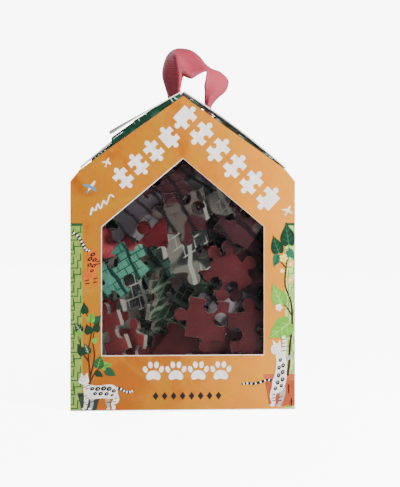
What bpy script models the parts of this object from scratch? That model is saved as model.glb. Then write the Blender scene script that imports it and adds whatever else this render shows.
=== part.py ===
"""Boxed jigsaw puzzle: a house-shaped folding carton with a film window, a ribbon loop and loose pieces.

The frame is +Z up, the window faces -Y, and the origin is the middle of the carton's underside.
Lengths below are in millimetres, and MM turns them into metres wherever a mesh is made.
"""

import math

import bmesh
import bpy
import numpy as np
from mathutils import Matrix, Vector

MM = 0.001

# Carton
WIDTH = 100.0
DEPTH = 36.0
BOARD = 0.5
GAP = 0.3
HALF_WIDTH = WIDTH / 2
HALF_DEPTH = DEPTH / 2
INNER_DEPTH = HALF_DEPTH - BOARD - GAP
WALL_TOP_Z = 101.5
EAVE_X = 46.0
EAVE_Z = 106.5
APEX_Z = 139.4

# Side walls, bent in at the eaves, and the glue flap as (height, front edge) rows
WALL_BEND_DROP = 0.1
STRIP_INSET = 0.15
STRIP_DROP = 0.2
GLUE_FLAP_ROWS = ((3.0, 6.0), (9.0, 4.0), (94.0, 4.0), (100.0, 6.0))

# Window cut-out and the film glued behind it
WINDOW_HALF = 36.0
WINDOW_SILL_Z = 24.5
WINDOW_EAVE_Z = 81.5
WINDOW_APEX_Z = 111.5
FILM_MARGIN = 4.5
FILM_THICKNESS = 0.25
FILM_Y = -INNER_DEPTH + FILM_THICKNESS / 2

# Roof panels: their height over the front panel's slope edge, straight up
ROOF_LIFT_EAVE = 0.9
ROOF_LIFT_RIDGE = 2.2
ROOF_BOW = 1.55
RIDGE_GAP = 0.37
LEFT_ROOF_END = 0.42

# Closure flap, folded over the ridge with its free end sprung up, more so at the back
CLOSURE_END_X = -32.2
CLOSURE_FRONT_Z = 122.3
CLOSURE_BACK_Z = 125.0
CLOSURE_BOW = 0.5
CLOSURE_CORNER = 5.0
CLOSURE_CORNER_CUT = 4.25
CLOSURE_ROWS = (-6.0, -12.0, -18.0, -23.0)

# Dust flaps along the four slope edges
DUST_BOARD = 0.4
DUST_DEPTH = 9.0
DUST_START = 0.12
DUST_END = 0.93
DUST_TAPER = 0.15
DUST_LEAST_DEPTH = 0.6
DUST_ROOT_LIFT = 0.6
DUST_ROOT_OUT = 0.2
DUST_UNDER_ROOF = 1.0
DUST_UNDER_CLOSURE = 1.1
DUST_BLEND = 0.15

# Tuck bottom; the tuck flap's rows are (share of its height, half width)
BOTTOM_HALF_X = 49.2
BOTTOM_HINGE_Z = BOARD / 2
TUCK_FOOT_Z = 0.85
TUCK_HEIGHT = 10.3
TUCK_LEAN = 3.4
TUCK_ROWS = ((0.0, 48.6), (0.45, 48.4), (0.75, 47.0), (0.93, 44.5), (1.0, 42.0))
FLAP_Z = 1.0
FLAP_HINGE_X = 49.0
FLAP_REACH = 14.0
FLAP_FRONT_Y = -14.0
FLAP_BACK_Y = 16.2
FLAP_BACK_TAPER = 8.5

# Ribbon
RIBBON_THICKNESS = 0.6
SLOT_HALF = 6.2
SLOT_CUT_REACH = 15.0
LEFT_SLOT_X = (-6.9, 0.6)
RIGHT_SLOT_X = (10.0, 16.0)
TAIL_SIZE = (4.0, 3.0)
KNOT_RADIUS = 3.2
TAIL_INTO_KNOT = 1.0
LEFT_TAIL = (-3.3, 132.5, 140.2)
RIGHT_TAIL = (12.8, 125.5, 134.2)

# Jigsaw pieces
PITCH = 18.0
PIECE_THICKNESS = 1.9
KERF = 0.3
KNOB_RADIUS = 3.1
KNOB_NECK = 2.0
KNOB_OUT = 3.0
KNOB_STEPS = 11
SHOULDER = 1.3
PIECE_COUNT = 40
PAIR_COUNT = 6
SLIDE_REACH = 1.2
HEAP_SEED = 27
EDGE_ON = (2, 7, 12)
EDGE_ON_YAW = 55.0
FRONT_UNITS = 14
FRONT_TILT = 13.0
BACK_TILT = 20.0
HEAP_CELL = 1.0
POINT_STEP = 0.8
ATTEMPTS = 140
HEAP_CLEARANCE = 0.4
HEAP_SIDE = 48.2
HEAP_FLOOR = 2.6
HEAP_ROOF_ROOM = 14.0
HEAP_BACK = 7.0
HEAP_HALF_X = 33.0
HEAP_Z = (14.0, 112.0)
FRESH_WORTH = 200.0
DEPTH_COST = 0.11
HEIGHT_COST = 0.002

PRINT_ORANGE = (0.78, 0.36, 0.06)
PRINT_GREEN = (0.04, 0.16, 0.06)
BOARD_WHITE = (0.85, 0.84, 0.80)
RIBBON_PINK = (0.75, 0.16, 0.22)
PIECE_CRIMSON = (0.40, 0.04, 0.06)
PIECE_TEAL = (0.10, 0.36, 0.28)


def new_collection(name):
    """Return an empty collection linked to the scene."""
    collection = bpy.data.collections.new(name)
    bpy.context.scene.collection.children.link(collection)
    return collection


def paint(thing, colour, roughness=0.5, alpha=1.0):
    """Give one object its own Principled material."""
    material = bpy.data.materials.new(thing.name + "_material")
    material.use_nodes = True
    shader = material.node_tree.nodes["Principled BSDF"]
    shader.inputs["Base Color"].default_value = (*colour, 1.0)
    shader.inputs["Roughness"].default_value = roughness
    shader.inputs["Metallic"].default_value = 0.0
    shader.inputs["Alpha"].default_value = alpha
    thing.data.materials.append(material)


def link_mesh(name, mesh, collection):
    thing = bpy.data.objects.new(name, mesh)
    collection.objects.link(thing)
    return thing


def cut_board(name, loops, thickness, place):
    """Make a flat die-cut board: the first loop is the outline, the others are holes."""
    curve = bpy.data.curves.new(name, "CURVE")
    curve.dimensions = "2D"
    curve.fill_mode = "BOTH"
    curve.extrude = thickness / 2 * MM
    for loop in loops:
        spline = curve.splines.new("POLY")
        spline.points.add(len(loop) - 1)
        spline.use_cyclic_u = True
        for point, (x, y) in zip(spline.points, loop):
            point.co = (x * MM, y * MM, 0.0, 1.0)
    board = link_mesh(name, curve, PARTS)
    board.matrix_world = place
    return board


def upright(y):
    """Return the placing that stands a flat outline up, facing -Y, at depth y."""
    return Matrix.Translation((0.0, y * MM, 0.0)) @ Matrix.Rotation(math.pi / 2, 4, "X")


def ruled_sheet(name, pairs, thickness):
    """Make a bent sheet from the two ends of each straight line that lies in it."""
    sheet = bmesh.new()
    rows = [[sheet.verts.new(Vector(end) * MM) for end in pair] for pair in pairs]
    for (a, b), (c, d) in zip(rows, rows[1:]):
        sheet.faces.new((a, b, d, c))
    mesh = bpy.data.meshes.new(name)
    sheet.to_mesh(mesh)
    sheet.free()
    thing = link_mesh(name, mesh, PARTS)
    solidify = thing.modifiers.new("board", "SOLIDIFY")
    solidify.thickness = thickness * MM
    solidify.offset = 0.0
    solidify.use_even_offset = True
    return thing


def box_cutter(name, low, high):
    """Make a hidden box between two corners."""
    shape = bmesh.new()
    bmesh.ops.create_cube(shape, size=1.0)
    size = [(b - a) * MM for a, b in zip(low, high)]
    centre = [(a + b) / 2 * MM for a, b in zip(low, high)]
    shape.transform(Matrix.Translation(centre) @ Matrix.Diagonal((*size, 1.0)))
    mesh = bpy.data.meshes.new(name)
    shape.to_mesh(mesh)
    shape.free()
    cutter = link_mesh(name, mesh, CUTTERS)
    cutter.hide_render = True
    cutter.display_type = "WIRE"
    return cutter


def combine(thing, tool, operation):
    boolean = thing.modifiers.new(operation.lower(), "BOOLEAN")
    boolean.operation = operation
    boolean.object = tool


def house_outline(half_width, wall_top, eave_x, eave_z, apex_z, foot_z=0.0):
    """Return the gable outline that the front and back share, counter-clockwise from the foot."""
    return [
        (-half_width, foot_z),
        (half_width, foot_z),
        (half_width, wall_top),
        (eave_x, eave_z),
        (0.0, apex_z),
        (-eave_x, eave_z),
        (-half_width, wall_top),
    ]


def window_outline(margin=0.0):
    """Return the window's house shape, grown by a margin on every side."""
    half = WINDOW_HALF + margin
    rise = (WINDOW_APEX_Z - WINDOW_EAVE_Z) / WINDOW_HALF
    return [
        (-half, WINDOW_SILL_Z - margin),
        (half, WINDOW_SILL_Z - margin),
        (half, WINDOW_EAVE_Z + margin * (1 - rise) / 2),
        (0.0, WINDOW_APEX_Z + margin * (1 + rise) * 0.75),
        (-half, WINDOW_EAVE_Z + margin * (1 - rise) / 2),
    ]


def slope_point(u, lift, y, side):
    """Return the point a share u up the slope edge, raised by lift, on the right (1) or left (-1)."""
    return (side * EAVE_X * (1 - u), y, EAVE_Z + (APEX_Z - EAVE_Z) * u + lift)


def roof_lift(u):
    """Return how far a roof panel's middle layer bows over the straight slope edge."""
    return ROOF_LIFT_EAVE + (ROOF_LIFT_RIDGE - ROOF_LIFT_EAVE) * u + ROOF_BOW * math.sin(math.pi * u)


def closure_z(x, y):
    """Return the closure flap's height, a sheet from the level ridge to a twisted free end."""
    share = min(1.0, max(0.0, x / CLOSURE_END_X))
    end_z = CLOSURE_FRONT_Z + (CLOSURE_BACK_Z - CLOSURE_FRONT_Z) * (y + HALF_DEPTH) / DEPTH
    ridge_z = APEX_Z + ROOF_LIFT_RIDGE
    return ridge_z + (end_z - ridge_z) * share + CLOSURE_BOW * math.sin(math.pi * share)


def make_panels():
    outline = house_outline(HALF_WIDTH, WALL_TOP_Z, EAVE_X, EAVE_Z, APEX_Z)
    middle = HALF_DEPTH - BOARD / 2
    paint(cut_board("front_panel", [outline, window_outline()], BOARD, upright(-middle)), PRINT_ORANGE)
    paint(cut_board("back_panel", [outline], BOARD, upright(middle)), PRINT_ORANGE)
    film = cut_board("window_film", [window_outline(FILM_MARGIN)], FILM_THICKNESS, upright(FILM_Y))
    paint(film, (0.9, 0.9, 0.9), roughness=0.05, alpha=0.2)


def make_wall(name, side):
    """Make a side wall whose top leans in as the narrow eave strip."""
    middle = HALF_WIDTH - BOARD / 2
    profile = [(middle, 0.0), (middle, WALL_TOP_Z - WALL_BEND_DROP),
               (EAVE_X - STRIP_INSET, EAVE_Z - STRIP_DROP)]
    pairs = [[(side * x, y, z) for y in (-INNER_DEPTH, INNER_DEPTH)] for x, z in profile]
    paint(ruled_sheet(name, pairs, BOARD), PRINT_GREEN)


def make_glue_flap():
    x = -(HALF_WIDTH - BOARD - GAP - BOARD / 2)
    pairs = [[(x, front_y, z), (x, INNER_DEPTH - BOARD / 2, z)] for z, front_y in GLUE_FLAP_ROWS]
    paint(ruled_sheet("glue_flap", pairs, BOARD), BOARD_WHITE)


def make_roof_panel(name, side, first, last, steps):
    pairs = []
    for u in np.linspace(first, last, steps):
        pairs.append([slope_point(u, roof_lift(u), y, side) for y in (-HALF_DEPTH, HALF_DEPTH)])
    panel = ruled_sheet(name, pairs, BOARD)
    paint(panel, PRINT_GREEN)
    return panel


def make_closure_flap():
    """Make the flap that folds over the ridge, with rounded corners and the ribbon's notch."""
    pairs = []
    rounded = [CLOSURE_CORNER * (1 - math.cos(a)) for a in np.linspace(0, math.pi / 2, 5)]
    ends = [CLOSURE_END_X + back for back in sorted(rounded, reverse=True)]
    for x in [-RIDGE_GAP, *CLOSURE_ROWS, *ends]:
        into_corner = max(0.0, CLOSURE_CORNER - (x - CLOSURE_END_X))
        inset = CLOSURE_CORNER - math.sqrt(max(0.0, CLOSURE_CORNER**2 - into_corner**2))
        half = HALF_DEPTH - min(inset, CLOSURE_CORNER_CUT)
        pairs.append([(x, y, closure_z(x, y)) for y in (-half, half)])
    flap = ruled_sheet("closure_flap", pairs, BOARD)
    paint(flap, PRINT_GREEN)
    notch = box_cutter(
        "left_slot_cutter",
        (LEFT_SLOT_X[0], -SLOT_HALF, APEX_Z - SLOT_CUT_REACH),
        (LEFT_SLOT_X[1], SLOT_HALF, APEX_Z + SLOT_CUT_REACH),
    )
    combine(flap, notch, "DIFFERENCE")


def make_dust_flap(name, side, face, under_closure):
    """Make a dust flap from a slope edge back under the roof; face is -1 at the front, 1 at the back."""
    full = np.linspace(DUST_START + DUST_TAPER, DUST_END - DUST_TAPER, 8)
    pairs = []
    for u in (DUST_START, *full, DUST_END):
        taper = min(1.0, (u - DUST_START) / DUST_TAPER, (DUST_END - u) / DUST_TAPER)
        depth = max(DUST_LEAST_DEPTH, DUST_DEPTH * taper)
        root_y = face * (HALF_DEPTH - BOARD + DUST_ROOT_OUT)
        tip_y = face * (HALF_DEPTH - BOARD - depth)
        tip_lift = roof_lift(u) - DUST_UNDER_ROOF
        if under_closure and u > LEFT_ROOF_END:
            x, _, edge_z = slope_point(u, 0.0, tip_y, side)
            room = closure_z(x, tip_y) - DUST_UNDER_CLOSURE - edge_z
            blend = min(1.0, (u - LEFT_ROOF_END) / DUST_BLEND) * taper
            tip_lift += max(0.0, room - tip_lift) * blend
        pairs.append([slope_point(u, DUST_ROOT_LIFT, root_y, side), slope_point(u, tip_lift, tip_y, side)])
    paint(ruled_sheet(name, pairs, DUST_BOARD), PRINT_GREEN)


def make_bottom():
    """Make the tuck bottom: the panel, its tuck flap and the two dust flaps above it."""
    panel = cut_board(
        "bottom_panel",
        [[(-BOTTOM_HALF_X, -INNER_DEPTH), (BOTTOM_HALF_X, -INNER_DEPTH),
          (BOTTOM_HALF_X, INNER_DEPTH), (-BOTTOM_HALF_X, INNER_DEPTH)]],
        BOARD,
        Matrix.Translation((0.0, 0.0, BOTTOM_HINGE_Z * MM)),
    )
    paint(panel, PRINT_GREEN)
    pairs = []
    for share, half in TUCK_ROWS:
        y = -INNER_DEPTH + BOARD / 2 + TUCK_LEAN * share
        z = TUCK_FOOT_Z + (TUCK_HEIGHT - TUCK_FOOT_Z) * share
        pairs.append([(x, y, z) for x in (-half, half)])
    paint(ruled_sheet("bottom_tuck_flap", pairs, BOARD), BOARD_WHITE)
    for name, side in (("bottom_left_dust_flap", -1), ("bottom_right_dust_flap", 1)):
        tip_x = FLAP_HINGE_X - FLAP_REACH
        outline = [
            (side * FLAP_HINGE_X, FLAP_FRONT_Y),
            (side * FLAP_HINGE_X, FLAP_BACK_Y),
            (side * tip_x, FLAP_BACK_Y - FLAP_BACK_TAPER),
            (side * tip_x, FLAP_FRONT_Y),
        ]
        place = Matrix.Translation((0.0, 0.0, FLAP_Z * MM))
        paint(cut_board(name, [outline], DUST_BOARD, place), BOARD_WHITE)


def smooth_path(points, per_span):
    """Return points along a Catmull-Rom curve through rows of numbers."""
    rows = [np.array(p, float) for p in points]
    rows = [2 * rows[0] - rows[1], *rows, 2 * rows[-1] - rows[-2]]
    path = []
    for a, b, c, d in zip(rows, rows[1:], rows[2:], rows[3:]):
        for t in np.arange(per_span) / per_span:
            path.append(
                0.5 * (2 * b + (c - a) * t + (2 * a - 5 * b + 4 * c - d) * t**2
                       + (3 * b - 3 * c + d - a) * t**3)
            )
    path.append(rows[-2])
    return path


# The loop as edge pairs, from the left slot over the top to the right slot: one edge, then the other.
RIBBON_EDGES = [
    ((-5.2, 2.6, 141.3), (-1.3, -2.6, 141.3)),
    ((-6.0, 3.6, 144.5), (-0.9, -3.6, 144.5)),
    ((-7.5, 4.4, 150.3), (-1.2, -4.4, 150.0)),
    ((-7.0, 5.0, 155.5), (-2.2, -4.4, 155.0)),
    ((-4.6, 5.8, 160.6), (-3.2, -4.2, 158.6)),
    ((0.8, 5.0, 163.4), (-1.4, -5.0, 155.6)),
    ((6.4, 2.6, 162.6), (0.4, -5.4, 150.4)),
    ((10.2, 2.0, 159.9), (4.4, -5.0, 148.4)),
    ((12.0, 3.4, 156.0), (9.0, -4.6, 150.2)),
    ((14.2, 4.4, 153.2), (11.9, -5.2, 151.2)),
    ((18.8, 5.4, 151.0), (11.6, -3.6, 148.8)),
    ((22.6, 6.0, 147.8), (10.8, -1.6, 146.4)),
    ((21.9, 3.8, 143.8), (11.2, -1.6, 143.8)),
    ((17.4, 2.2, 139.8), (11.6, -2.0, 140.2)),
    ((14.6, 1.8, 135.6), (11.4, -1.8, 135.6)),
]


def make_ribbon_loop():
    rows = [(*a, *b) for a, b in RIBBON_EDGES]
    pairs = [(row[:3], row[3:]) for row in smooth_path(rows, 2)]
    paint(ruled_sheet("ribbon_loop", pairs, RIBBON_THICKNESS), RIBBON_PINK, roughness=0.8)


def make_ribbon_knot(name, x, knot_z, top_z):
    """Make one knotted end inside the roof, with the tail that passes up through its slot."""
    ball = bmesh.new()
    bmesh.ops.create_uvsphere(ball, u_segments=12, v_segments=8, radius=KNOT_RADIUS * MM)
    ball.transform(Matrix.Translation((x * MM, 0.0, knot_z * MM)))
    mesh = bpy.data.meshes.new(name)
    ball.to_mesh(mesh)
    ball.free()
    knot = link_mesh(name, mesh, PARTS)
    half_x, half_y = TAIL_SIZE[0] / 2, TAIL_SIZE[1] / 2
    foot_z = knot_z + TAIL_INTO_KNOT
    tail = box_cutter(name + "_tail", (x - half_x, -half_y, foot_z), (x + half_x, half_y, top_z))
    combine(knot, tail, "UNION")
    paint(knot, RIBBON_PINK, roughness=0.8)


def piece_side(kind, slide):
    """Return one side's points as (along, outward): kind is 1 for a tab, -1 for a socket, 0 for flat."""
    if kind == 0:
        return []
    radius = KNOB_RADIUS - kind * KERF / 2
    neck = KNOB_NECK - kind * KERF / 2
    turn = math.asin(neck / radius)
    points = [(slide - neck - SHOULDER, -KERF / 2)]
    for angle in np.linspace(turn, 2 * math.pi - turn, KNOB_STEPS):
        out = KNOB_OUT - radius * math.cos(angle)
        points.append((slide - radius * math.sin(angle), kind * out))
    points.append((slide + neck + SHOULDER, -KERF / 2))
    return points


def piece_outline(kinds, slides, centre):
    """Return a jigsaw piece's outline, counter-clockwise, from its four sides."""
    half = PITCH / 2
    outline = []
    for quarter, (kind, slide) in enumerate(zip(kinds, slides)):
        out = np.array((math.cos(quarter * math.pi / 2), math.sin(quarter * math.pi / 2)))
        along = np.array((-out[1], out[0]))
        corner = half - KERF / 2
        outline.append(out * corner - along * corner + centre)
        for t, n in piece_side(kind, slide):
            outline.append(out * (half + n) + along * t + centre)
    return np.array(outline)


def inside(outline, points):
    """Return which points lie in the outline, by the even-odd rule."""
    x, y = points[:, 0], points[:, 1]
    odd = np.zeros(len(points), bool)
    for (ax, ay), (bx, by) in zip(outline, np.roll(outline, -1, axis=0)):
        crosses = (ay > y) != (by > y)
        slope = (bx - ax) / (by - ay) if by != ay else 0.0
        odd ^= crosses & (x < ax + slope * (y - ay))
    return odd


def solid_points(outlines):
    """Return points spread through the flat pieces' volume, for laying them on the heap."""
    reach = PITCH + KNOB_OUT + KNOB_RADIUS
    steps = np.arange(-reach, reach, POINT_STEP)
    grid = np.array([(x, y) for x in steps for y in steps])
    spread = []
    for outline in outlines:
        flat = np.vstack([grid[inside(outline, grid)], outline])
        for level in (-0.5, 0.0, 0.5):
            spread.append(np.column_stack([flat, np.full(len(flat), level * PIECE_THICKNESS)]))
    return np.vstack(spread)


def widened(heights):
    """Return the height map with each cell raised to its highest neighbour."""
    padded = np.pad(heights, 1, mode="edge")
    rows, columns = heights.shape
    views = [padded[i:i + rows, j:j + columns] for i in range(3) for j in range(3)]
    return np.max(views, axis=0)


class Heap:
    """Pieces laid one on another, backwards from the film: a map of how far back the heap reaches."""

    def __init__(self):
        columns = int(WIDTH / HEAP_CELL)
        rows = int(APEX_Z / HEAP_CELL)
        self.back = np.full((columns, rows), FILM_Y + FILM_THICKNESS / 2 + GAP)
        self.back[:, : int(TUCK_HEIGHT + 1)] = -INNER_DEPTH + TUCK_LEAN + 1.2
        self.seen = np.zeros((columns, rows), bool)
        cells = np.array([(i, j) for i in range(columns) for j in range(rows)], float)
        centres = cells * HEAP_CELL + (HEAP_CELL / 2 - HALF_WIDTH, HEAP_CELL / 2)
        self.window = inside(np.array(window_outline(3.0)), centres).reshape(columns, rows)

    def cells(self, points):
        i = np.floor((points[:, 0] + HALF_WIDTH) / HEAP_CELL).astype(int)
        j = np.floor(points[:, 2] / HEAP_CELL).astype(int)
        return i, j

    def lay(self, points):
        """Return how far back these points must move to lie on the heap, or None if they don't fit."""
        roof = EAVE_Z + (APEX_Z - EAVE_Z) * (1 - np.abs(points[:, 0]) / EAVE_X) - HEAP_ROOF_ROOM
        if np.abs(points[:, 0]).max() > HEAP_SIDE or points[:, 2].min() < HEAP_FLOOR:
            return None
        if (points[:, 2] > roof).any():
            return None
        i, j = self.cells(points)
        move = (widened(self.back)[i, j] - points[:, 1]).max() + HEAP_CLEARANCE
        return None if (points[:, 1] + move).max() > HEAP_BACK else move

    def fresh(self, points):
        """Return how many unseen window cells the points would cover."""
        i, j = self.cells(points)
        covered = np.zeros_like(self.seen)
        covered[i, j] = True
        return (covered & self.window & ~self.seen).sum()

    def add(self, points):
        i, j = self.cells(points)
        np.maximum.at(self.back, (i, j), points[:, 1])
        self.seen[i, j] = True


def turned(centre, spin, lean, yaw):
    """Return a piece's placing: spun in its plane, stood up facing -Y, leant and turned."""
    return (
        Matrix.Translation(centre)
        @ Matrix.Rotation(yaw, 4, "Z")
        @ Matrix.Rotation(math.pi / 2 + lean, 4, "X")
        @ Matrix.Rotation(spin, 4, "Z")
    )


def transformed(points, place):
    matrix = np.array(place)
    return points @ matrix[:3, :3].T + matrix[:3, 3]


def best_place(heap, points, chance, number):
    """Try seeded random places and keep the one that hides most new window for the least depth."""
    best = None
    open_cells = np.argwhere(heap.window & ~heap.seen)
    edge_on = number in EDGE_ON
    spread = (FRONT_TILT if number < FRONT_UNITS else BACK_TILT) / 2
    for attempt in range(ATTEMPTS):
        if len(open_cells) and attempt % 3:
            column, row = open_cells[chance.integers(len(open_cells))]
            x = column * HEAP_CELL - HALF_WIDTH
            z = row * HEAP_CELL
        else:
            x = chance.uniform(-HEAP_HALF_X, HEAP_HALF_X)
            z = chance.uniform(*HEAP_Z)
        lean = math.radians(chance.normal(0, spread))
        yaw = chance.choice((-EDGE_ON_YAW, EDGE_ON_YAW)) if edge_on else chance.normal(0, spread)
        place = turned((x, 0.0, z), chance.uniform(0, 2 * math.pi), lean, math.radians(yaw))
        moved = transformed(points, place)
        move = heap.lay(moved)
        if move is None:
            continue
        depth = (moved[:, 1] + move).mean() - FILM_Y
        score = heap.fresh(moved) / FRESH_WORTH - depth * DEPTH_COST - z * HEIGHT_COST
        if best is None or score > best[0]:
            best = (score, Matrix.Translation((0.0, move, 0.0)) @ place, moved + (0.0, move, 0.0))
    return best


def piece_units(chance):
    """Return the outlines of each unit to lay: a pair still joined, or a single piece."""
    units = []
    for number in range(PIECE_COUNT - PAIR_COUNT):
        kinds = [int(k) for k in chance.permutation((1, -1, 1, -1))]
        if number % 6 == 4:
            kinds[int(chance.integers(4))] = 0
        slides = list(chance.uniform(-SLIDE_REACH, SLIDE_REACH, 4))
        if number % 5 == 1 and number < PAIR_COUNT * 5:
            kinds[0] = 1
            mate_kinds = [1, -1, -1, 1]
            mate_slides = [slides[1], slides[2], -slides[0], slides[3]]
            units.append([
                piece_outline(kinds, slides, (-PITCH / 2, 0.0)),
                piece_outline(mate_kinds, mate_slides, (PITCH / 2, 0.0)),
            ])
        else:
            units.append([piece_outline(kinds, slides, (0.0, 0.0))])
    return units


def make_pieces():
    chance = np.random.default_rng(HEAP_SEED)
    heap = Heap()
    made = 0
    for number, outlines in enumerate(piece_units(chance)):
        points = solid_points(outlines)
        _, place, moved = best_place(heap, points, chance, number)
        heap.add(moved)
        place_m = Matrix.Translation(place.translation * MM) @ place.to_3x3().to_4x4()
        for outline in outlines:
            made += 1
            piece = cut_board(f"jigsaw_piece_{made:02d}", [outline], PIECE_THICKNESS, place_m)
            paint(piece, PIECE_CRIMSON if made % 2 else PIECE_TEAL)


for old in list(bpy.data.objects):
    bpy.data.objects.remove(old)
PARTS = new_collection("boxed_jigsaw_puzzle")
CUTTERS = new_collection("cutters")

make_panels()
make_wall("left_wall", -1)
make_wall("right_wall", 1)
make_glue_flap()
make_roof_panel("left_roof_panel", -1, 0.01, LEFT_ROOF_END, 6)
lid = make_roof_panel("lid_panel", 1, 0.0, 1 - RIDGE_GAP / EAVE_X, 12)
right_slot = box_cutter(
    "right_slot_cutter",
    (RIGHT_SLOT_X[0], -SLOT_HALF, APEX_Z - SLOT_CUT_REACH),
    (RIGHT_SLOT_X[1], SLOT_HALF, APEX_Z + SLOT_CUT_REACH),
)
combine(lid, right_slot, "DIFFERENCE")
make_closure_flap()
make_dust_flap("front_left_dust_flap", -1, -1, True)
make_dust_flap("back_left_dust_flap", -1, 1, True)
make_dust_flap("front_right_dust_flap", 1, -1, False)
make_dust_flap("back_right_dust_flap", 1, 1, False)
make_bottom()
make_ribbon_loop()
make_ribbon_knot("ribbon_knot_left", *LEFT_TAIL)
make_ribbon_knot("ribbon_knot_right", *RIGHT_TAIL)
make_pieces()
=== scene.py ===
"""Looks of the boxed jigsaw puzzle: a printed house-shaped carton, its window, a ribbon and loose pieces."""

import math

import bmesh
import bpy
import numpy as np
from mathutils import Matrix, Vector
from mathutils.geometry import tessellate_polygon


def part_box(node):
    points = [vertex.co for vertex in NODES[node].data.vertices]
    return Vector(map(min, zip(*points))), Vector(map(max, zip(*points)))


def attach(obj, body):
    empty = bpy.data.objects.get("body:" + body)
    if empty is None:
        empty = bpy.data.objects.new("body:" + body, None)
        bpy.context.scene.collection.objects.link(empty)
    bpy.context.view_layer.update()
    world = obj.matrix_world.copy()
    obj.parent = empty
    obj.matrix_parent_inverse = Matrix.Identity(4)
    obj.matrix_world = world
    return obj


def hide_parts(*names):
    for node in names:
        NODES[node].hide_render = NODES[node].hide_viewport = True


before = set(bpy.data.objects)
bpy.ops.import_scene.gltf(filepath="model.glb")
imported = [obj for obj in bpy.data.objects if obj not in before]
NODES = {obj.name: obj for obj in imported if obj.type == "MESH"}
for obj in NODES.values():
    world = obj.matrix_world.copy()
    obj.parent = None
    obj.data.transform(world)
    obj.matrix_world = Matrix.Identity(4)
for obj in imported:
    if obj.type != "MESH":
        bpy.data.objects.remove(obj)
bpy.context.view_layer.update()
MM = 0.001

# The carton's faces in the frame, in millimetres
FRONT_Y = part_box("front_panel")[0].y / MM
BACK_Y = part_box("back_panel")[1].y / MM
HALF_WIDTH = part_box("right_wall")[1].x / MM
APEX_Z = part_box("front_panel")[1].z / MM
# Where the front's slopes begin
EAVE_X, EAVE_Z = 46.0, 106.5

# Strength of the studio's light on the object, and of the backdrop and floor as the camera sees them
AMBIENT = 0.34
BACKDROP_GLOW = 8.3
FLOOR_GLOW = 7.8

# Inks and stocks, as linear colours
ORANGE = (0.43, 0.142, 0.003)
ORANGE_DEEP = (0.35, 0.098, 0.002)
ORANGE_PALE = (0.52, 0.200, 0.010)
ORANGE_RED = (0.39, 0.088, 0.002)
ORANGE_OCHRE = (0.39, 0.155, 0.003)
ORANGE_SPECK = (0.20, 0.05, 0.01)
# Painted highlight: the golden that the orange wash turns to on its lit right side
PAINTED_LIGHT_GOLD = (0.68, 0.255, 0.012)
LIME = (0.22, 0.34, 0.06)
MINT = (0.42, 0.60, 0.20)
TRELLIS = (0.020, 0.085, 0.022)
LEAF_DARK = (0.006, 0.034, 0.014)
LEAF_DEEP = (0.012, 0.075, 0.028)
LEAF_BRIGHT = (0.13, 0.36, 0.035)
LEAF_PALE = (0.30, 0.54, 0.13)
LEAF_TEAL = (0.015, 0.12, 0.07)
VEIN = (0.45, 0.62, 0.35)
STEM = (0.040, 0.014, 0.008)
FUR = (0.82, 0.80, 0.76)
FUR_SHADE = (0.34, 0.35, 0.36)
MARKING = (0.010, 0.009, 0.010)
GINGER = (0.60, 0.12, 0.012)
POT_DARK = (0.025, 0.035, 0.03)
POT_CLAY = (0.36, 0.065, 0.020)
POT_RIM = (0.46, 0.10, 0.035)
WHITE_INK = (0.86, 0.84, 0.80)
BLOOM = (0.85, 0.42, 0.10)
BLOOM_YELLOW = (0.88, 0.66, 0.12)
BIRD_BLUE = (0.07, 0.24, 0.36)
BIRD_PALE = (0.80, 0.76, 0.62)
FOREST = (0.006, 0.040, 0.018)
SPRAY = (0.30, 0.55, 0.38)

# Varnish and grain of the matt prints
PRINT_COAT = 0.10
GRAIN_SCALE = 900.0
GRAIN_STRENGTH = 0.10
GRAIN_DEPTH = 0.0002

# Grosgrain ribs, in metres along the ribbon
RIB_PITCH = 0.00055


# ---- materials


class Nodes:
    """A node tree with short ways to add to it. An input is a value or the socket that feeds it."""

    def __init__(self, tree):
        self.tree = tree

    def link(self, socket, value):
        """Give a socket its value or its link."""
        if isinstance(value, bpy.types.NodeSocket):
            self.tree.links.new(value, socket)
        else:
            socket.default_value = (*value, 1.0) if socket.type == "RGBA" else value

    def node(self, kind, inputs=None, **settings):
        """Add a node."""
        made = self.tree.nodes.new("ShaderNode" + kind)
        for key, value in settings.items():
            setattr(made, key, value)
        for key, value in (inputs or {}).items():
            self.link(made.inputs[key], value)
        return made

    def plus(self, a, b):
        """Return one value plus another."""
        return self.node("Math", {0: a, 1: b}, operation="ADD").outputs[0]

    def times(self, a, b):
        """Return one value times another."""
        return self.node("Math", {0: a, 1: b}, operation="MULTIPLY").outputs[0]


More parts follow.
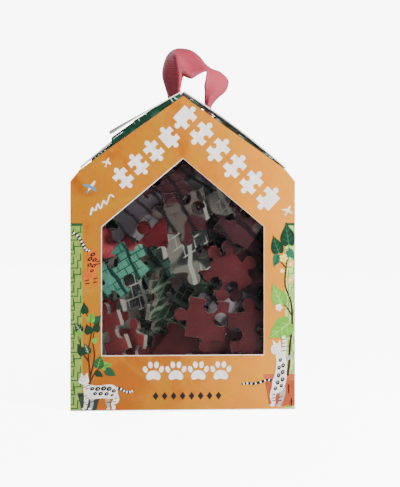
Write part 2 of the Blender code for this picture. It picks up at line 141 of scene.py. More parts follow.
class Recipe(Nodes):
    """One material in the making: its nodes, its shader and the place on the object that its patterns use."""

    def __init__(self, name, roughness):
        self.material = bpy.data.materials.new(name)
        self.material.use_nodes = True
        super().__init__(self.material.node_tree)
        self.shader = self.tree.nodes["Principled BSDF"]
        self.set("Roughness", roughness)
        self.where = self.node("TexCoord").outputs["Object"]

    def set(self, name, value):
        """Give one of the shader's inputs its value or its link."""
        self.link(self.shader.inputs[name], value)

    def stretched(self, factors, turn=(0.0, 0.0, 0.0)):
        """Return the place stretched and turned."""
        return self.node("Mapping", {"Vector": self.where, "Scale": factors,
                                     "Rotation": turn}).outputs["Vector"]

    def noise(self, scale, detail=3.0, roughness=0.55, distortion=0.0):
        """Return soft noise from 0 to 1."""
        inputs = {"Vector": self.where, "Scale": scale, "Detail": detail, "Roughness": roughness,
                  "Distortion": distortion}
        return self.node("TexNoise", inputs).outputs["Fac"]

    def cells(self, where, scale, randomness=1.0):
        """Return the distance from the middle of the nearest of many random cells."""
        inputs = {"Vector": where, "Scale": scale, "Randomness": randomness}
        return self.node("TexVoronoi", inputs).outputs["Distance"]

    def joints(self, axis, width, height, line, **settings):
        """Return a brick pattern across one axis and z, in metres: 1 on the joints and 0 on the bricks."""
        parts = self.node("SeparateXYZ", {"Vector": self.where}).outputs
        flat = self.node("CombineXYZ", {"X": parts[axis], "Y": parts["Z"]}).outputs[0]
        inputs = {"Vector": flat, "Color1": (0, 0, 0), "Color2": (0, 0, 0), "Mortar": (1, 1, 1), "Scale": 1.0,
                  "Mortar Size": line, "Mortar Smooth": 0.1, "Brick Width": width, "Row Height": height}
        return self.node("TexBrick", inputs, **settings).outputs["Color"]

    def ramp(self, fac, stops):
        """Return a colour ramp over a value, from (place, colour) stops."""
        made = self.node("ValToRGB", {"Fac": fac})
        while len(made.color_ramp.elements) < len(stops):
            made.color_ramp.elements.new(0.5)
        for element, (at, colour) in zip(made.color_ramp.elements, stops):
            element.position = at
            element.color = (*colour, 1.0)
        return made.outputs["Color"]

    def fade(self, fac, places, values=(0.0, 1.0)):
        """Return a value that goes from one level to another between two places."""
        return self.ramp(fac, [(at, (value,) * 3) for at, value in zip(places, values)])

    def blend(self, fac, a, b, mode="MIX"):
        """Return colour a mixed towards b."""
        return self.node("Mix", {0: fac, 6: a, 7: b}, data_type="RGBA", blend_type=mode).outputs[2]

    def bump(self, height, strength, distance):
        """Give the surface a small relief."""
        made = self.node("Bump", {"Height": height, "Strength": strength, "Distance": distance})
        self.set("Normal", made.outputs["Normal"])

    def varnish(self, weight, roughness=0.18):
        """Lay a clear coat over a print."""
        self.set("Specular IOR Level", 0.15)
        self.set("Coat Weight", weight)
        self.set("Coat Roughness", roughness)

    def finish_print(self, colour):
        """Give a matt print its colour, its thin varnish and its fine grain."""
        self.set("Base Color", colour)
        self.varnish(PRINT_COAT)
        self.bump(self.noise(GRAIN_SCALE), GRAIN_STRENGTH, GRAIN_DEPTH)
        return self.material


def orange_print():
    """Return the orange print: a wash in soft clouds with fine darker specks; its turn to golden towards the
    right is a painted highlight where the light and its sheen fall.
    """
    made = Recipe("orange_wash", 0.42)
    colour = made.ramp(made.noise(42.0, 5.0, 0.62, 0.8),
                       [(0.28, ORANGE_RED), (0.40, ORANGE_DEEP), (0.50, ORANGE), (0.60, ORANGE_OCHRE),
                        (0.74, ORANGE_PALE)])
    across = made.node("SeparateXYZ", {"Vector": made.where}).outputs["X"]
    drift = made.plus(across, made.times(made.noise(26.0, 2.0), 0.03))
    # Painted highlight: the wash is lifted to golden towards the right, where the light falls
    colour = made.blend(made.fade(made.times(drift, 10.0), (0.10, 0.62), (0.0, 0.85)), colour, PAINTED_LIGHT_GOLD)
    bloom = made.noise(210.0, 4.0, 0.6)
    colour = made.blend(0.20, colour, made.fade(bloom, (0.3, 0.7), (0.55, 1.0)), "MULTIPLY")
    spot = made.fade(made.cells(made.where, 520.0), (0.10, 0.20), (0.45, 0.0))
    few = made.fade(made.noise(120.0, 2.0), (0.52, 0.64))
    made.set("Roughness", made.fade(bloom, (0.3, 0.7), (0.35, 0.52)))
    return made.finish_print(made.blend(made.times(spot, few), colour, ORANGE_SPECK))


def board_stock(name, light, dark, scale=700.0, roughness=0.75):
    """Return bare paperboard: pale fibres with faint grey flecks."""
    made = Recipe(name, roughness)
    made.where = made.stretched((1.0, 1.0, 3.0))
    fibres = made.noise(scale, 5.0, 0.65)
    made.set("Base Color", made.ramp(fibres, [(0.25, dark), (0.55, light)]))
    made.bump(fibres, 0.25, 0.0002)
    return made.material


def trellis_print(name, ground, ground_deep, line, pitch=0.0062):
    """Return the side walls' garden-trellis print: a fine stepped lattice on washed green."""
    made = Recipe(name, 0.40)
    wash = made.ramp(made.noise(60.0, 4.0), [(0.3, ground_deep), (0.65, ground)])
    laths = made.joints("Y", pitch * 0.8, pitch * 0.62, pitch * 0.075,
                        offset=0.38, offset_frequency=2, squash=0.7, squash_frequency=3)
    fine = made.joints("Y", pitch * 0.33, pitch * 0.31, pitch * 0.04, offset=0.5)
    hand = made.fade(made.noise(260.0, 2.0), (0.35, 0.6), (0.25, 1.0))
    colour = made.blend(made.times(fine, 0.22), wash, line)
    return made.finish_print(made.blend(made.times(laths, hand), colour, line))


def foliage_print(name, ground, leaf, pale, roughness=0.22):
    """Return a dark glossy print of crowded leaves with pale sprays."""
    made = Recipe(name, roughness)
    wander = made.node("TexNoise", {"Vector": made.where, "Scale": 90.0, "Detail": 2.0}).outputs["Color"]
    centred = made.node("VectorMath", {0: wander, 1: (0.5, 0.5, 0.5)}, operation="SUBTRACT").outputs[0]
    small = made.node("VectorMath", {0: centred, "Scale": 0.006}, operation="SCALE").outputs[0]
    bent = made.node("VectorMath", {0: made.where, 1: small}, operation="ADD").outputs[0]
    leaves = made.ramp(made.cells(bent, 150.0, 0.9), [(0.30, leaf), (0.52, ground)])
    veins = made.node("TexWave", {"Vector": bent, "Scale": 190.0, "Distortion": 7.0, "Detail": 2.0},
                      bands_direction="DIAGONAL")
    strokes = made.fade(veins.outputs["Fac"], (0.80, 0.93))
    clumps = made.fade(made.noise(95.0, 2.0), (0.50, 0.60))
    made.set("Base Color", made.blend(made.times(strokes, clumps), leaves, pale))
    made.varnish(0.6, 0.08)
    made.bump(made.noise(700.0), 0.08, 0.0002)
    return made.material


def ink_material():
    """Return the printing ink: each shape's own colour, washed unevenly under the varnish."""
    made = Recipe("printing_inks", 0.42)
    own = made.node("Attribute", attribute_name="ink").outputs["Color"]
    wash = made.fade(made.noise(340.0, 4.0, 0.6), (0.3, 0.62), (0.62, 1.0))
    return made.finish_print(made.blend(0.55, own, wash, "MULTIPLY"))


def film_material():
    """Return the clear window film: a faint gloss with dust lying on it, and a near-black tint that is
    painted shade over the pieces behind.
    """
    made = Recipe("clear_film", 0.06)
    specks = made.fade(made.cells(made.where, 760.0), (0.08, 0.15), (1.0, 0.0))
    settled = made.fade(made.noise(38.0, 2.0), (0.42, 0.62))
    dusty = made.times(specks, settled)
    # Painted shade: the film's near-black base, at 12% alpha where it is clean, darkens the pieces behind it
    made.set("Base Color", made.blend(dusty, (0.004, 0.004, 0.006), (0.50, 0.50, 0.52)))
    made.set("Roughness", made.fade(dusty, (0.0, 1.0), (0.05, 0.8)))
    made.set("Alpha", made.fade(dusty, (0.0, 1.0), (0.12, 0.55)))
    made.set("IOR", 1.36)
    return made.material


def ribbon_material():
    """Return grosgrain: fine ribs across the ribbon, with a soft sheen."""
    made = Recipe("grosgrain", 0.62)
    along = made.node("Attribute", attribute_name="along").outputs["Fac"]
    ribs = made.node("Math", {0: made.times(along, 2 * math.pi / RIB_PITCH)}, operation="SINE").outputs[0]
    thread = made.noise(1500.0, 2.0)
    tone = made.plus(made.times(ribs, 0.24), made.times(thread, 0.5))
    made.set("Base Color", made.ramp(tone, [(0.0, (0.25, 0.012, 0.030)), (0.45, (0.42, 0.036, 0.072))]))
    made.set("Sheen Weight", 0.15)
    made.set("Sheen Roughness", 0.4)
    made.bump(made.plus(ribs, thread), 0.5, 0.0002)
    return made.material


def piece_back_material(name, deep, light):
    """Return the pieces' plain crimson backs, finely mottled, with a linen press."""
    made = Recipe(name, 0.50)
    linen = made.node("TexWave", {"Vector": made.stretched((1.0, 0.3, 1.0), (0, 0.5, 0)), "Scale": 900.0,
                                  "Distortion": 1.0, "Detail": 1.0})
    made.set("Base Color", made.ramp(made.noise(120.0, 4.0, 0.65), [(0.3, deep), (0.7, light)]))
    made.varnish(0.15, 0.35)
    made.bump(linen.outputs["Fac"], 0.12, 0.0001)
    return made.material


def piece_print_material(name, ground, deep, line, second, scale, turn):
    """Return a piece's picture side: washed grounds crossed by drawn lines, with one second colour."""
    made = Recipe(name, 0.38)
    made.where = made.stretched((1.0, 1.0, 1.0), turn)
    wash = made.ramp(made.noise(70.0, 4.0), [(0.35, deep), (0.62, ground)])
    waves = made.node("TexWave", {"Vector": made.where, "Scale": scale, "Distortion": 3.0, "Detail": 2.0,
                                  "Detail Scale": 1.5})
    curves = made.fade(waves.outputs["Fac"], (0.88, 0.95))
    ruled = made.fade(made.noise(55.0, 1.0), (0.46, 0.50), (1.0, 0.0))
    drawn = made.times(made.joints("X", 0.0052, 0.0034, 0.00022), ruled)
    lines = made.node("Math", {0: curves, 1: drawn}, operation="MAXIMUM").outputs[0]
    patch = made.fade(made.noise(48.0, 1.0), (0.55, 0.58))
    made.set("Base Color", made.blend(lines, made.blend(patch, wash, second), line))
    made.varnish(0.25, 0.2)
    made.bump(made.noise(900.0, 2.0), 0.1, 0.0001)
    return made.material


def floor_material():
    """Return white paper that the camera sees as bright as the backdrop."""
    made = Recipe("studio_paper", 0.85)
    made.set("Base Color", made.fade(made.noise(14.0), (0.3, 0.7), (0.90, 0.93)))
    made.set("Emission Color", (1.0, 1.0, 1.0))
    seen = made.node("LightPath").outputs["Is Camera Ray"]
    made.set("Emission Strength", made.times(seen, FLOOR_GLOW))
    return made.material


# ---- the CAD nodes' own faces


def dress(name, chooser, *materials):
    """Give a CAD node its materials: chooser returns a slot number from a face's normal."""
    mesh = NODES[name].data
    mesh.materials.clear()
    for material in materials:
        mesh.materials.append(material)
    for face in mesh.polygons:
        face.material_index = chooser(face.normal)


def soften(name, width):
    """Round a node's sharp edges a little."""
    rounding = NODES[name].modifiers.new("rounding", "BEVEL")
    rounding.width = width
    rounding.segments = 2
    rounding.limit_method = "ANGLE"
    rounding.angle_limit = math.radians(50)


LEFT_SLOPE_OUT = (-0.58, 0, 0.81)
RIGHT_SLOPE_OUT = (0.58, 0, 0.81)


def facing(direction, threshold=0.7):
    """Return a chooser: 0 for faces that look along the direction, 1 for faces against it, 2 for edges."""
    wanted = Vector(direction).normalized()

    def choose(normal):
        share = normal.dot(wanted)
        return 0 if share > threshold else 1 if share < -threshold else 2

    return choose


def folded_flap(side, fold_side):
    """Return a chooser for a dust flap: print on its top and round its fold, bare board below."""
    top = facing(LEFT_SLOPE_OUT if side < 0 else RIGHT_SLOPE_OUT, 0.3)

    def choose(normal):
        return 0 if normal.y * fold_side > 0.5 else top(normal)

    return choose


ORANGE_PRINT = orange_print()
WHITE_BOARD = board_stock("white_board", (0.80, 0.79, 0.76), (0.62, 0.61, 0.58))
CUT_EDGE = board_stock("cut_edge", (0.78, 0.77, 0.74), (0.50, 0.49, 0.47), 1600.0, 0.85)
# Painted shade: a brown copy of the cut edge for the front panel's edges, where the window's cut edges look
# dark
PAINTED_SHADE_EDGE = board_stock("painted_shade_window_edge", (0.42, 0.27, 0.13), (0.26, 0.16, 0.08), 1600.0, 0.85)
SIDE_PRINT = trellis_print("side_trellis", LIME, (0.30, 0.50, 0.13), TRELLIS)
ROOF_PRINT = foliage_print("roof_foliage", FOREST, LEAF_DEEP, SPRAY)
FLAP_PRINT = foliage_print("flap_foliage", (0.004, 0.026, 0.014), (0.010, 0.065, 0.038), (0.50, 0.72, 0.58),
                           0.18)
BOTTOM_PRINT = foliage_print("bottom_foliage", FOREST, LEAF_DEEP, SPRAY, 0.3)
FILM = film_material()
RIBBON = ribbon_material()
GREYBOARD = board_stock("greyboard", (0.20, 0.18, 0.155), (0.10, 0.09, 0.08), 1300.0, 0.9)
# Painted shade: a greyer copy of the white board for the closure flap's underside, which lies in shade
PAINTED_SHADE_BOARD = board_stock("painted_shade_board", (0.40, 0.41, 0.39), (0.28, 0.29, 0.27))
CRIMSON = piece_back_material("piece_back_crimson", (0.36, 0.042, 0.052), (0.48, 0.075, 0.088))
# Two darker copies of the crimson back: painted shade for pieces in the shaded part of the window
CRIMSON_PAINTED_SHADE_MID = piece_back_material("piece_back_painted_shade_mid", (0.056, 0.006, 0.008), (0.092, 0.010, 0.013))
CRIMSON_PAINTED_SHADE_DEEP = piece_back_material("piece_back_painted_shade_deep", (0.040, 0.005, 0.007), (0.070, 0.009, 0.012))
PIECE_BACKS = {"crimson": CRIMSON, "mid": CRIMSON_PAINTED_SHADE_MID, "deep": CRIMSON_PAINTED_SHADE_DEEP}

dress("front_panel", facing((0, -1, 0)), ORANGE_PRINT, WHITE_BOARD, PAINTED_SHADE_EDGE)
dress("back_panel", facing((0, 1, 0)), ORANGE_PRINT, WHITE_BOARD, CUT_EDGE)
dress("left_wall", facing((-1, 0, 0.35)), SIDE_PRINT, WHITE_BOARD, CUT_EDGE)
dress("right_wall", facing((1, 0, 0.35)), SIDE_PRINT, WHITE_BOARD, CUT_EDGE)
dress("glue_flap", facing((-1, 0, 0)), WHITE_BOARD, WHITE_BOARD, CUT_EDGE)
dress("left_roof_panel", facing(LEFT_SLOPE_OUT), ROOF_PRINT, WHITE_BOARD, CUT_EDGE)
dress("lid_panel", facing(RIGHT_SLOPE_OUT), ROOF_PRINT, WHITE_BOARD, CUT_EDGE)
dress("closure_flap", facing((-0.51, 0, 0.86)), ROOF_PRINT, PAINTED_SHADE_BOARD, CUT_EDGE)
for flap_name, side in (("left", -1), ("right", 1)):
    for end in ("front", "back"):
        fold_side = -1 if end == "front" else 1
        dress(f"{end}_{flap_name}_dust_flap", folded_flap(side, fold_side), FLAP_PRINT, WHITE_BOARD, CUT_EDGE)
dress("bottom_panel", facing((0, 0, -1)), BOTTOM_PRINT, WHITE_BOARD, CUT_EDGE)
dress("bottom_tuck_flap", facing((0, -1, 0)), WHITE_BOARD, WHITE_BOARD, CUT_EDGE)
for flap_name in ("bottom_left_dust_flap", "bottom_right_dust_flap"):
    dress(flap_name, facing((0, 0, -1)), WHITE_BOARD, WHITE_BOARD, CUT_EDGE)
dress("window_film", facing((0, -1, 0)), FILM)
for knot in ("ribbon_knot_left", "ribbon_knot_right"):
    dress(knot, lambda normal: 0, RIBBON)

# ---- jigsaw pieces

# The pictures on the pieces: washed ground, its deep tone, drawn line, second colour, wave scale, turn
PICTURES = {
    "teal": ((0.085, 0.27, 0.19), (0.045, 0.17, 0.12), (0.006, 0.030, 0.024), (0.20, 0.42, 0.33), 34.0,
             (0.3, 0.5, 0.2)),
    "leaf": ((0.012, 0.035, 0.018), (0.005, 0.012, 0.008), (0.10, 0.14, 0.10), (0.035, 0.075, 0.020), 40.0,
             (0.1, 1.1, 0.6)),
    "stripe": ((0.015, 0.018, 0.016), (0.008, 0.010, 0.009), (0.25, 0.26, 0.23), (0.12, 0.115, 0.10), 30.0,
               (0.9, 0.4, 0.0)),
    "lilac": ((0.085, 0.070, 0.085), (0.040, 0.032, 0.042), (0.010, 0.008, 0.010), (0.20, 0.18, 0.19), 42.0,
              (0.2, 0.9, 0.4)),
    "wine": ((0.050, 0.012, 0.016), (0.024, 0.006, 0.009), (0.008, 0.004, 0.005), (0.075, 0.062, 0.055), 40.0,
             (0.5, 0.2, 0.8)),
}
PIECE_PRINTS = {look: piece_print_material(f"piece_{look}", *recipe) for look, recipe in PICTURES.items()}
PIECE_COUNT = 40
PIECE_EDGE = 0.0004

# What each piece that shows in the window turns to it: one of the pictures, or a crimson back; the mid and
# deep backs are painted shade
SHOWN = {"crimson": (10, 16, 20, 21), "mid": (1, 11, 13, 23), "deep": (7, 17), "teal": (5, 34),
         "leaf": (4, 22, 26, 27, 35), "stripe": (3, 12, 18, 25, 30), "lilac": (8, 15, 19, 28),
         "wine": (2, 6, 9, 14, 24, 29)}


def window_normal(mesh):
    """Return the normal of a piece's broad faces, turned to look at the window."""
    broad = max(mesh.polygons, key=lambda face: face.area).normal.copy()
    return -broad if broad.y > 0 else broad


for index in range(1, PIECE_COUNT + 1):
    name = f"jigsaw_piece_{index:02d}"
    hidden = "crimson" if index % 2 else "leaf"
    look = next((look for look, shown in SHOWN.items() if index in shown), hidden)
    picture = PIECE_PRINTS.get(look, list(PIECE_PRINTS.values())[index % len(PIECE_PRINTS)])
    back = PIECE_BACKS.get(look, CRIMSON)
    shown_first = (back, picture) if look in PIECE_BACKS else (picture, back)
    dress(name, facing(window_normal(NODES[name].data), 0.9), *shown_first, GREYBOARD)
    soften(name, PIECE_EDGE)

# ---- printed artwork

INKS = ink_material()

# The window's top rises 30 mm over 36 mm on each side, and the symbols above it follow that
SLOPE_TURN = math.degrees(math.atan2(30.0, 36.0))

# The side walls' print comes round the corners in strips: their top, and where they end, in mm
STRIP_TOP = 83.0
STRIP_X = 44.6
RIGHT_STRIP_X = 45.6


def smooth(points, closed=True, steps=4):
    """Return a Catmull-Rom curve through flat points."""
    rows = [np.array(p, float) for p in points]
    if closed:
        rows = [rows[-1], *rows, rows[0], rows[1]]
    else:
        rows = [2 * rows[0] - rows[1], *rows, 2 * rows[-1] - rows[-2]]
    path = []
    for a, b, c, d in zip(rows, rows[1:], rows[2:], rows[3:]):
        for t in np.arange(steps) / steps:
            path.append(0.5 * (2 * b + (c - a) * t + (2 * a - 5 * b + 4 * c - d) * t**2
                               + (3 * b - 3 * c + d - a) * t**3))
    return path if closed else [*path, rows[-2]]


def placed(points, at, turn=0.0, size=1.0):
    """Return flat points scaled, turned by degrees and moved to a place."""
    c, s = math.cos(math.radians(turn)), math.sin(math.radians(turn))
    return [(at[0] + size * (c * x - s * z), at[1] + size * (s * x + c * z)) for x, z in points]


def round_blob(radius, stretch=1.0, corners=10):
    """Return an oval outline about the origin."""
    angles = np.linspace(0, 2 * math.pi, corners, endpoint=False)
    return [(radius * math.cos(a), radius * stretch * math.sin(a)) for a in angles]


def filled_mesh(name, shape):
    """Return a mesh with what was built in a bmesh."""
    mesh = bpy.data.meshes.new(name)
    shape.to_mesh(mesh)
    shape.free()
    return mesh


def add_object(name, data):
    """Return a new object in the scene."""
    made = bpy.data.objects.new(name, data)
    bpy.context.scene.collection.objects.link(made)
    return made


def thick_sheet(name, mesh, material, thickness, offset=0.0):
    """Return a new object in one material, thickened by so many millimetres."""
    mesh.materials.append(material)
    piece = add_object(name, mesh)
    solid = piece.modifiers.new("thickness", "SOLIDIFY")
    solid.thickness = thickness * MM
    solid.offset = offset
    return piece


class Artwork:
    """Shapes printed on one face: hair-thin tiles, in the face's own millimetres, stacked in layers."""

    LAYER = 0.02
    STAGGER = 0.003
    INK = 0.012

    def __init__(self, name, body, to_world, slot, reach):
        self.name, self.body, self.to_world, self.slot, self.reach = name, body, to_world, slot, reach
        self.corners, self.faces, self.colours = [], [], []
        self.count = 0

    def shape(self, outline, colour, layer=0):
        """Print one filled outline."""
        first = len(self.corners)
        lift = self.LAYER * (layer + 1) + self.STAGGER * (self.count % 6)
        self.count += 1
        outline = [(min(self.reach, max(-self.reach, x)), z) for x, z in outline]
        self.corners += [Vector(self.to_world(x, z, lift)) * MM for x, z in outline]
        outward = Vector(self.to_world(0, 0, 1)) - Vector(self.to_world(0, 0, 0))
        for face in tessellate_polygon([[Vector((x, z, 0)) for x, z in outline]]):
            a, b, c = (self.corners[first + i] for i in face)
            ordered = face if (b - a).cross(c - a).dot(outward) > 0 else face[::-1]
            self.faces.append([first + i for i in ordered])
        self.colours += [colour] * len(outline)

    def stroke(self, points, start, end, colour, layer=0, steps=4):
        """Print a line along a smooth path, from one width to another."""
        path = np.array(smooth(points, closed=False, steps=steps))
        along = np.gradient(path, axis=0)
        along /= np.maximum(np.linalg.norm(along, axis=1), 1e-9)[:, None]
        half = np.linspace(start, end, len(path))[:, None] / 2
        side = np.column_stack([-along[:, 1], along[:, 0]]) * half
        self.shape([*(path + side), *(path - side)[::-1]], colour, layer)

    def leaf(self, base, tip, width, colour, vein=None, layer=2):
        """Print a heart-shaped leaf with a pointed tip, and its midrib and side veins."""
        base, tip = np.array(base, float), np.array(tip, float)
        axis = tip - base
        across = np.array((-axis[1], axis[0])) / max(np.linalg.norm(axis), 1e-9) * width
        half = [(0.0, 0.0), (-0.08, 0.24), (0.10, 0.47), (0.36, 0.50), (0.64, 0.30), (0.86, 0.09), (1.0, 0.0)]
        rim = half + [(t, -s) for t, s in half[-2:0:-1]]
        self.shape(smooth([base + axis * t + across * s for t, s in rim], steps=2), colour, layer)
        if vein:
            length = np.linalg.norm(axis)
            self.stroke([base, base + axis * 0.5 + across * 0.02, base + axis * 0.9], 0.05 * length,
                        0.02 * length, vein, layer + 1, 2)
            for t in (0.12, 0.34, 0.56):
                for s in (-1, 1):
                    root = base + axis * t
                    end = base + axis * (t + 0.17) + across * s * (0.36 - 0.3 * t)
                    self.stroke([root, (root + end) / 2 + axis * 0.01, end], 0.03 * length, 0.012 * length,
                                vein, layer + 1, 1)

    def blob(self, at, radius, colour, layer, stretch=1.0, turn=0.0):
        """Print an oval."""
        self.shape(placed(round_blob(radius, stretch), at, turn), colour, layer)

    def bands(self, points, width, colour, layer, count):
        """Print bands across a smooth path, as on a striped tail."""
        path = smooth(points, closed=False, steps=8)
        for index in range(count):
            step = int((index + 0.5) * (len(path) - 1) / count)
            middle, before = path[step], path[max(0, step - 1)]
            turn = math.degrees(math.atan2(middle[1] - before[1], middle[0] - before[0]))
            self.shape(placed(round_blob(width * 0.40, 1.5, 6), middle, turn), colour, layer)

    def finish(self, material):
        """Make the tiles one piece, with each corner's ink as an attribute."""
        mesh = bpy.data.meshes.new(self.name)
        mesh.from_pydata(self.corners, [], self.faces)
        ink = mesh.attributes.new("ink", "FLOAT_VECTOR", "POINT")
        ink.data.foreach_set("vector", [channel for colour in self.colours for channel in colour])
        piece = thick_sheet(self.name, mesh, material, self.INK, 1.0)
        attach(piece, self.body)


def puzzle_icon(at, turn, size, kinds):
    """Return a small jigsaw-piece symbol: each side has a knob (1), a socket (-1) or neither (0)."""
    outline = []
    for quarter, kind in enumerate(kinds):
        side = [(0.5, -0.5), (0.5, -0.12)]
        if kind:
            arc = np.linspace(-2.3, 2.3, 7)
            side += [(0.5 + kind * (0.15 + 0.17 * math.cos(a)), 0.17 * math.sin(a)) for a in arc]
        side.append((0.5, 0.12))
        outline += placed(side, (0.0, 0.0), 90 * quarter)
    return placed(outline, at, turn, size)


def paw_print(art, at, size, colour, layer=1):
    """Print a plain paw mark: one pad and four toes."""
    pad = [(0.0, 0.05), (0.22, -0.02), (0.36, -0.24), (0.26, -0.42), (0.0, -0.36), (-0.26, -0.42),
           (-0.36, -0.24), (-0.22, -0.02)]
    art.shape(smooth(placed(pad, at, 0.0, size), steps=3), colour, layer)
    for x, z, lean in ((-0.40, 0.10, 20), (-0.15, 0.32, 6), (0.15, 0.32, -6), (0.40, 0.10, -20)):
        toe = placed([(x, z)], at, 0.0, size)[0]
        art.blob(toe, 0.115 * size, colour, layer, 1.45, lean)


def walking_cat(art, at, size, fur, mark, shade, layer):
    """Print a plain spotted cat walking, its feet at the given place."""
    def put(points):
        return placed(points, at, 0.0, size)

    tail = [(16.2, 10.2), (18.6, 9.6), (20.8, 8.4), (22.8, 8.2), (24.4, 8.8)]
    for path, wide, thin in (([(4.6, 7.0), (5.0, 3.6), (4.4, 0.6)], 2.0, 1.3),
                             ([(12.8, 7.0), (12.2, 3.6), (13.0, 0.6)], 2.4, 1.3)):
        art.stroke(put(path), wide * size, thin * size, shade, layer - 1)
    art.stroke(put(tail), 1.5 * size, 1.1 * size, mark, layer - 1)
    art.bands(put(tail), 1.1 * size, fur, layer, 6)
    body = [(1.2, 12.6), (4.0, 11.8), (8.0, 11.3), (12.0, 11.8), (15.4, 11.4), (17.0, 9.0), (16.6, 6.2),
            (14.4, 5.2), (10.0, 5.4), (6.0, 5.0), (3.0, 5.4), (1.0, 8.2)]
    art.shape(smooth(put(body)), fur, layer)
    for path, wide, thin in (([(2.4, 8.0), (2.2, 4.0), (1.6, 0.5)], 2.5, 1.4),
                             ([(15.0, 8.0), (16.4, 4.8), (15.0, 2.6), (15.4, 0.5)], 3.4, 1.4)):
        art.stroke(put(path), wide * size, thin * size, fur, layer)
    for x, z in ((1.0, 0.5), (4.0, 0.5), (12.6, 0.5), (15.0, 0.5)):
        art.shape(put(placed(round_blob(0.9, 0.55), (x, z))), fur, layer)
    art.shape(smooth(put([(0.0, 12.2), (2.0, 11.8), (3.4, 13.0), (3.3, 15.0), (1.8, 16.0), (0.0, 15.8),
                          (-1.1, 14.4), (-1.2, 13.0)])), fur, layer)
    art.shape(put([(-0.4, 15.2), (-0.2, 17.6), (1.0, 15.8)]), fur, layer)
    art.shape(put([(1.4, 15.8), (2.8, 17.5), (3.2, 14.8)]), fur, layer)
    for x, z, radius in ((5.0, 9.9, 0.85), (7.6, 9.8, 1.0), (10.4, 10.0, 1.05), (13.0, 9.8, 1.0),
                         (15.2, 8.8, 0.8), (6.4, 7.6, 0.8), (9.0, 7.6, 0.9), (11.8, 7.4, 0.85),
                         (14.4, 6.8, 0.6)):
        art.shape(put(placed(round_blob(radius * 1.35, 0.75), (x, z), 20)), mark, layer + 1)
        art.shape(put(placed(round_blob(radius * 0.5, 0.6), (x + 0.15, z), 20)), shade, layer + 2)
    for x, z in ((2.6, 9.8), (3.2, 11.2), (1.4, 10.6), (1.8, 6.4), (2.6, 5.4), (1.6, 3.4), (2.2, 2.4),
                 (16.2, 5.2), (15.4, 3.6), (16.0, 2.2), (5.0, 3.6), (12.6, 3.4)):
        art.shape(put(placed([(-0.95, -0.2), (0.9, 0.1), (0.7, 0.5), (-0.7, 0.22)], (x, z))), mark, layer + 1)
    for x, z in ((-0.1, 14.0), (1.5, 14.0), (0.6, 13.2)):
        art.shape(put(placed(round_blob(0.24), (x, z))), mark, layer + 1)
    for x in (0.2, 1.0, 1.8):
        art.shape(put([(x, 15.0), (x + 0.22, 15.0), (x + 0.22, 15.9), (x, 15.9)]), mark, layer + 1)


def reaching_cat(art, fur, mark, shade, layer=6):
    """Print a plain spotted cat standing on its hind legs at the right, one paw up the plant."""
    tail = [(40.6, 12.2), (38.0, 13.2), (35.0, 12.4), (31.6, 11.6), (28.6, 11.8), (26.2, 11.4)]
    art.stroke(tail, 1.3, 1.0, mark, layer - 1)
    art.bands(tail, 1.0, fur, layer, 8)
    art.stroke([(44.4, 10.0), (44.2, 6.0), (43.0, 2.2)], 3.0, 1.5, shade, layer - 1)
    art.stroke([(44.6, 21.8), (47.0, 22.8), (49.0, 24.6)], 2.0, 1.2, shade, layer - 1)
    art.shape(smooth([(41.4, 24.8), (43.6, 25.6), (45.6, 23.8), (46.2, 19.0), (46.0, 13.0), (44.6, 9.0),
                      (41.8, 7.2), (39.8, 9.2), (40.0, 12.8), (41.2, 17.0), (41.6, 21.0)]), fur, layer)
    art.stroke([(41.6, 10.0), (40.0, 6.4), (40.4, 2.4)], 3.8, 1.5, fur, layer)
    art.shape(placed(round_blob(1.2, 0.55), (39.8, 2.0)), fur, layer)
    art.shape(placed(round_blob(1.2, 0.55), (42.6, 1.8)), shade, layer - 1)
    art.stroke([(44.2, 23.2), (45.2, 28.0), (44.9, 32.8)], 2.3, 1.4, fur, layer)
    art.shape(smooth([(39.2, 26.2), (40.0, 24.8), (42.0, 24.6), (43.6, 25.8), (43.8, 28.0), (42.4, 29.4),
                      (40.6, 29.0), (39.4, 27.8)]), fur, layer)
    art.shape([(40.4, 28.6), (39.8, 31.0), (41.8, 29.2)], fur, layer)
    art.shape([(42.2, 29.2), (43.2, 31.2), (43.8, 28.4)], fur, layer)
    for x, z, radius in ((43.4, 22.0, 0.7), (44.6, 19.6, 0.8), (42.8, 18.6, 0.75), (44.4, 16.6, 0.85),
                         (42.6, 15.2, 0.8), (44.4, 13.4, 0.8), (42.2, 12.0, 0.8), (43.8, 10.6, 0.7),
                         (41.2, 9.4, 0.7)):
        art.blob((x, z), radius * 1.35, mark, layer + 1, 0.8, 60)
        art.blob((x, z + 0.1), radius * 0.55, shade, layer + 2, 0.6, 60)
    for x, z in ((40.4, 6.4), (40.2, 5.0), (40.4, 3.8), (44.9, 26.0), (45.0, 27.8), (45.0, 29.4),
                 (44.9, 31.0), (43.6, 5.4), (43.2, 3.8)):
        art.shape(placed([(-0.9, -0.2), (0.9, 0.1), (0.7, 0.5), (-0.7, 0.22)], (x, z)), mark, layer + 1)
    for x, z in ((40.3, 27.4), (41.7, 27.6), (40.6, 26.4)):
        art.blob((x, z), 0.24, mark, layer + 1)


